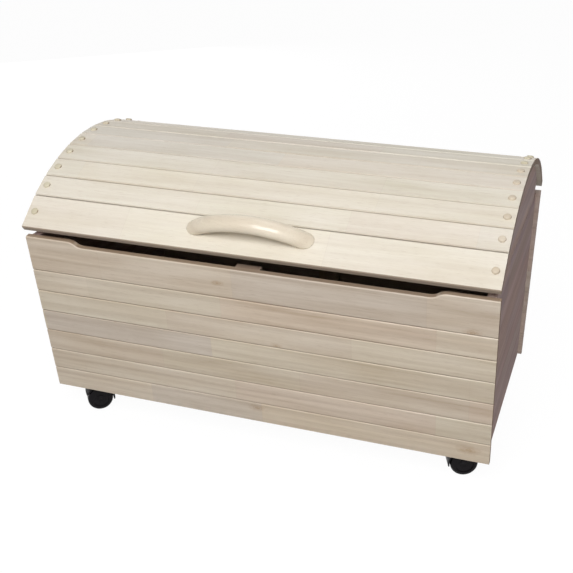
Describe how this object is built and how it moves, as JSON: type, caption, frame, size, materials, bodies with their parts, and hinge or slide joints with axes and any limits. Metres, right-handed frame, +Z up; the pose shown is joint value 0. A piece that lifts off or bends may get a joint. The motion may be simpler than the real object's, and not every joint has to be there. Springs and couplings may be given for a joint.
{
  "type": "toy chest",
  "caption": "Toy chest of pale boards with outward-leaning walls, a hinged arched slatted lid with a bowed grip, and swivelling twin-wheel casters.",
  "frame": {"origin": "on the floor under the middle of the chest", "axes": "+X along the chest to its right end, +Y to its back, +Z up; the front faces -Y"},
  "size_m": [0.85, 0.5554, 0.5338],
  "materials": {
    "wall_wood": "limed, satin",
    "lid_wood": "limed, satin",
    "steel": "zinc plated",
    "hood_plastic": "satin black",
    "wheel_plastic": "satin black"
  },
  "bodies": {
    "chest": {"back_centre_batten": "wall_wood", "back_slat_1": "wall_wood", "back_slat_2": "wall_wood", "back_slat_3": "wall_wood", "back_slat_4": "wall_wood", "back_slat_5": "wall_wood", "back_slat_6": "wall_wood", "back_top_board": "wall_wood", "caster_bearers": "wall_wood", "caster_plates": "steel", "end_panel_left": "wall_wood", "end_panel_right": "wall_wood", "floor_panel": "wall_wood", "front_centre_batten": "wall_wood", "front_slat_1": "wall_wood", "front_slat_2": "wall_wood", "front_slat_3": "wall_wood", "front_slat_4": "wall_wood", "front_slat_5": "wall_wood", "front_slat_6": "wall_wood", "front_top_board": "wall_wood", "hinge_base_leaves": "steel", "hinge_pins": "steel", "wall_hinge_rail": "wall_wood"},
    "lid": {"hinge_lid_leaves": "steel", "lid_back_slat": "lid_wood", "lid_buttons": "lid_wood", "lid_end_board_left": "lid_wood", "lid_end_board_right": "lid_wood", "lid_front_slat": "lid_wood", "lid_grip": "lid_wood", "lid_hinge_rail": "wall_wood", "lid_slat_1": "lid_wood", "lid_slat_10": "lid_wood", "lid_slat_2": "lid_wood", "lid_slat_3": "lid_wood", "lid_slat_4": "lid_wood", "lid_slat_5": "lid_wood", "lid_slat_6": "lid_wood", "lid_slat_7": "lid_wood", "lid_slat_8": "lid_wood", "lid_slat_9": "lid_wood"},
    "caster_front_left": {"caster_axle_front_left": "steel", "caster_hood_front_left": "hood_plastic"},
    "wheel_front_left_1": {"caster_wheel_front_left_1": "wheel_plastic"},
    "wheel_front_left_2": {"caster_wheel_front_left_2": "wheel_plastic"},
    "caster_front_right": {"caster_axle_front_right": "steel", "caster_hood_front_right": "hood_plastic"},
    "wheel_front_right_1": {"caster_wheel_front_right_1": "wheel_plastic"},
    "wheel_front_right_2": {"caster_wheel_front_right_2": "wheel_plastic"},
    "caster_back_left": {"caster_axle_back_left": "steel", "caster_hood_back_left": "hood_plastic"},
    "wheel_back_left_1": {"caster_wheel_back_left_1": "wheel_plastic"},
    "wheel_back_left_2": {"caster_wheel_back_left_2": "wheel_plastic"},
    "caster_back_right": {"caster_axle_back_right": "steel", "caster_hood_back_right": "hood_plastic"},
    "wheel_back_right_1": {"caster_wheel_back_right_1": "wheel_plastic"},
    "wheel_back_right_2": {"caster_wheel_back_right_2": "wheel_plastic"}
  },
  "joints": [
    {"name": "lid_hinge", "type": "hinge", "parent": "chest", "child": "lid", "pos_m": [0, 0.27324, 0.40648], "axis": [-1, 0, 0], "range_deg": [0, 105]},
    {"name": "swivel_front_left", "type": "hinge", "parent": "chest", "child": "caster_front_left", "pos_m": [-0.352, -0.15846, 0.05], "axis": [0, 0, 1], "continuous": true},
    {"name": "spin_front_left_1", "type": "hinge", "parent": "caster_front_left", "child": "wheel_front_left_1", "pos_m": [-0.36618, -0.16955, 0.025], "axis": [0.6157, -0.788, 0], "continuous": true},
    {"name": "spin_front_left_2", "type": "hinge", "parent": "caster_front_left", "child": "wheel_front_left_2", "pos_m": [-0.36618, -0.16955, 0.025], "axis": [0.6157, -0.788, 0], "continuous": true},
    {"name": "swivel_front_right", "type": "hinge", "parent": "chest", "child": "caster_front_right", "pos_m": [0.352, -0.15846, 0.05], "axis": [0, 0, 1], "continuous": true},
    {"name": "spin_front_right_1", "type": "hinge", "parent": "caster_front_right", "child": "wheel_front_right_1", "pos_m": [0.36891, -0.15231, 0.025], "axis": [-0.342, 0.9397, 0], "continuous": true},
    {"name": "spin_front_right_2", "type": "hinge", "parent": "caster_front_right", "child": "wheel_front_right_2", "pos_m": [0.36891, -0.15231, 0.025], "axis": [-0.342, 0.9397, 0], "continuous": true},
    {"name": "swivel_back_left", "type": "hinge", "parent": "chest", "child": "caster_back_left", "pos_m": [-0.352, 0.15846, 0.05], "axis": [0, 0, 1], "continuous": true},
    {"name": "spin_back_left_1", "type": "hinge", "parent": "caster_back_left", "child": "wheel_back_left_1", "pos_m": [-0.36759, 0.16746, 0.025], "axis": [-0.5, -0.866, 0], "continuous": true},
    {"name": "spin_back_left_2", "type": "hinge", "parent": "caster_back_left", "child": "wheel_back_left_2", "pos_m": [-0.36759, 0.16746, 0.025], "axis": [-0.5, -0.866, 0], "continuous": true},
    {"name": "swivel_back_right", "type": "hinge", "parent": "chest", "child": "caster_back_right", "pos_m": [0.352, 0.15846, 0.05], "axis": [0, 0, 1], "continuous": true},
    {"name": "spin_back_right_1", "type": "hinge", "parent": "caster_back_right", "child": "wheel_back_right_1", "pos_m": [0.33569, 0.15086, 0.025], "axis": [0.4226, -0.9063, 0], "continuous": true},
    {"name": "spin_back_right_2", "type": "hinge", "parent": "caster_back_right", "child": "wheel_back_right_2", "pos_m": [0.33569, 0.15086, 0.025], "axis": [0.4226, -0.9063, 0], "continuous": true}
  ]
}
